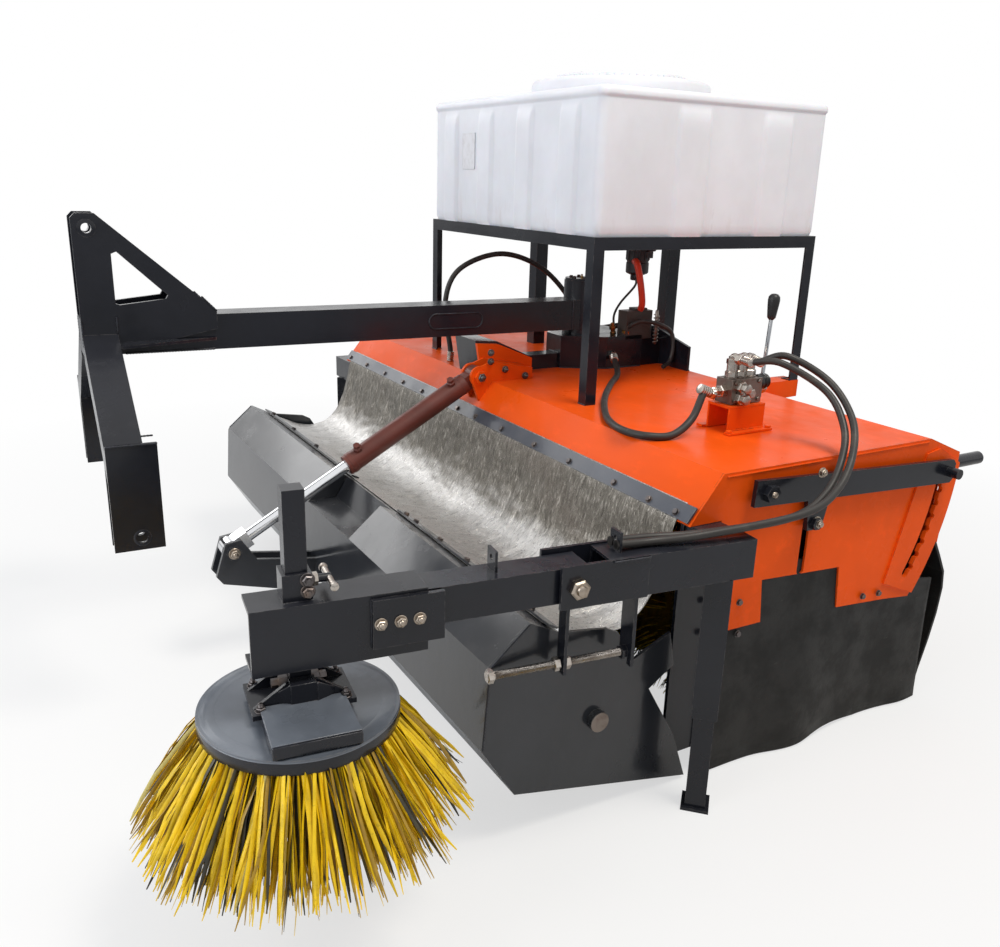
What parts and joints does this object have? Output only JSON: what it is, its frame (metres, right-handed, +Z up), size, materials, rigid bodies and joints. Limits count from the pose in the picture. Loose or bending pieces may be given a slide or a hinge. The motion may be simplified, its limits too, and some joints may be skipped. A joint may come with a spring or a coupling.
{
  "type": "street_sweeper",
  "caption": "Tractor-hitched road sweeper-collector with a full-width brush hood, tipping front bucket, side brush, water tank and three-point mast",
  "frame": {"origin": "centre of the bounding box in plan, at ground height", "axes": "+X towards the tractor, +Y towards the side brush end, +Z up"},
  "size_m": [2.3104, 2.5524, 1.755],
  "materials": {
    "orange_paint": "gloss",
    "black_paint": "gloss",
    "bucket_paint": "gloss",
    "grey_paint": "satin",
    "primer_paint": "satin",
    "rod_chrome": "polished",
    "zinc": "satin",
    "white_plastic": "satin",
    "black_plastic": "matte",
    "black_rubber": "matte",
    "foil_sheet": "satin",
    "bristle": "matte",
    "yellow_bristle": "satin"
  },
  "bodies": {
    "frame": {"hood_shell": "orange_paint", "end_plate_near": "orange_paint", "end_plate_far": "orange_paint", "height_lever_near": "black_paint", "height_lever_far": "black_paint", "side_frame_near": "black_paint", "side_frame_far": "black_paint", "skirt_near": "black_rubber", "skirt_far": "black_rubber", "rear_flap": "black_rubber", "sheet_bar": "grey_paint", "flex_sheet": "foil_sheet", "pivot_bracket": "black_paint", "cylinder_clevis": "orange_paint", "tank_stand": "black_paint", "rear_brackets": "orange_paint", "tank": "white_plastic", "tank_lid": "white_plastic", "spray_pump": "black_plastic", "valve_bracket": "orange_paint", "control_valve": "zinc", "arm_bracket": "black_paint", "leg_bracket_far": "black_paint", "hose_pair": "black_rubber", "hose_valve": "black_rubber", "hose_loop": "black_rubber"},
    "main_brush": {"main_core": "grey_paint", "main_bristles": "bristle"},
    "hitch": {"hitch_beam": "black_paint", "mast": "black_paint", "hitch_arms": "black_paint", "link_clevises": "black_paint"},
    "bucket": {"bucket_shell": "bucket_paint", "bucket_side_near": "bucket_paint", "bucket_side_far": "bucket_paint", "bucket_lug": "bucket_paint"},
    "barrel": {"cylinder_barrel": "primer_paint"},
    "rod": {"cylinder_rod": "rod_chrome"},
    "arm": {"side_arm": "black_paint"},
    "post": {"side_post": "black_paint"},
    "side_brush": {"side_disc": "black_plastic", "side_bristles": "yellow_bristle"},
    "near_leg": {"leg_near": "black_paint"},
    "far_leg": {"leg_far": "black_paint"}
  },
  "joints": [
    {"name": "main_brush_spin", "type": "hinge", "parent": "frame", "child": "main_brush", "pos_m": [-0.45624, -0.08285, 0.28], "axis": [0, 1, 0], "continuous": true},
    {"name": "hitch_swing", "type": "hinge", "parent": "frame", "child": "hitch", "pos_m": [-0.59823, -0.23585, 0.986], "axis": [0, 0, 1], "range_deg": [-10, 12]},
    {"name": "bucket_tip", "type": "hinge", "parent": "frame", "child": "bucket", "pos_m": [0.14277, -0.08285, 0.256], "axis": [0, -1, 0], "range_deg": [0, 44], "deforming": ["flex_sheet"]},
    {"name": "barrel_pivot", "type": "hinge", "parent": "frame", "child": "barrel", "pos_m": [-0.12223, -0.12085, 0.823], "axis": [0, -1, 0], "range_deg": [0, 18.68]},
    {"name": "rod_slide", "type": "slide", "parent": "barrel", "child": "rod", "axis": [0.872, 0, -0.4895], "range_m": [-0.3401, 0]},
    {"name": "arm_lift", "type": "hinge", "parent": "frame", "child": "arm", "pos_m": [0.27136, 1.00691, 0.648], "axis": [-0.1219, -0.9925, 0], "range_deg": [0, 38]},
    {"name": "post_slide", "type": "slide", "parent": "arm", "child": "post", "axis": [0, 0, 1], "range_m": [-0.145, 0.02]},
    {"name": "side_brush_spin", "type": "hinge", "parent": "post", "child": "side_brush", "pos_m": [0.82024, 0.93952, 0.461], "axis": [0, 0, 1], "continuous": true},
    {"name": "near_leg_slide", "type": "slide", "parent": "frame", "child": "near_leg", "axis": [0, 0, 1], "range_m": [0, 0.22]},
    {"name": "far_leg_slide", "type": "slide", "parent": "frame", "child": "far_leg", "axis": [0, 0, 1], "range_m": [0, 0.22]}
  ],
  "couplings": [
    {"joint": "barrel_pivot", "follows": "bucket_tip", "ratio": 0.42352},
    {"joint": "rod_slide", "follows": "bucket_tip", "m_per_rad": -0.44225}
  ]
}
